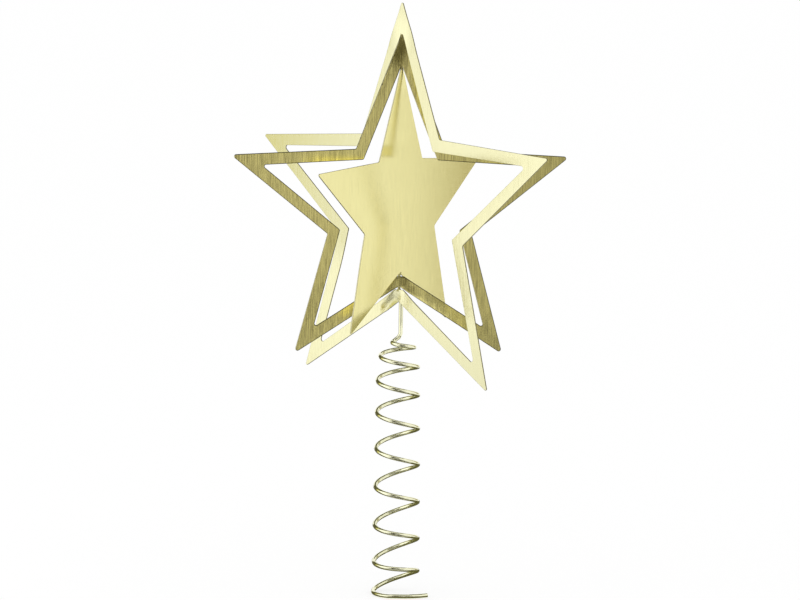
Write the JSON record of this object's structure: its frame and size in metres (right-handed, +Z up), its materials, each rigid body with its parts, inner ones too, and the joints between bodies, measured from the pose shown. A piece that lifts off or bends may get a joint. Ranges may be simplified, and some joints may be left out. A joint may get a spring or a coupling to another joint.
{
  "type": "tree topper star",
  "caption": "Brass tree topper: nested stars cut from one sheet and turned apart on twisted necks, on a coiled wire that slips over the leading shoot of a tree.",
  "frame": {"origin": "foot of the coil, on the axis of the coil and of the stars", "axes": "+Z up along that axis, from the coil to the top tip; the stars are seen from -Y, with +X to the right"},
  "size_m": [0.1384, 0.1166, 0.2503],
  "materials": {
    "outer_brass": "brushed sheet",
    "middle_brass": "brushed sheet",
    "inner_brass": "brushed sheet",
    "wire_brass": "bright drawn wire",
    "solder": "dull tin solder"
  },
  "bodies": {
    "spring": {"spring_coil": "wire_brass"},
    "outer": {"outer_star": "outer_brass", "upper_outer_neck": "outer_brass", "lower_outer_neck": "outer_brass", "stem": "wire_brass", "solder_bead": "solder"},
    "middle": {"middle_star": "middle_brass", "upper_inner_neck": "inner_brass", "lower_inner_neck": "inner_brass"},
    "inner": {"inner_star": "inner_brass"}
  },
  "joints": [
    {"name": "star_sway", "type": "hinge", "parent": "spring", "child": "outer", "pos_m": [0, 0, 0.085], "axis": [0, 1, 0], "range_deg": [-25, 25], "stiffness_Nm_per_rad": 0.2, "deforming": ["spring_coil"]},
    {"name": "middle_star_turn", "type": "hinge", "parent": "outer", "child": "middle", "pos_m": [0, 0, 0.1636], "axis": [0, 0, 1], "range_deg": [-138.5, 41.5], "deforming": ["upper_outer_neck", "lower_outer_neck"]},
    {"name": "inner_star_turn", "type": "hinge", "parent": "middle", "child": "inner", "pos_m": [0, 0, 0.1636], "axis": [0, 0, 1], "range_deg": [-140.6, 39.4], "deforming": ["upper_inner_neck", "lower_inner_neck"]}
  ]
}
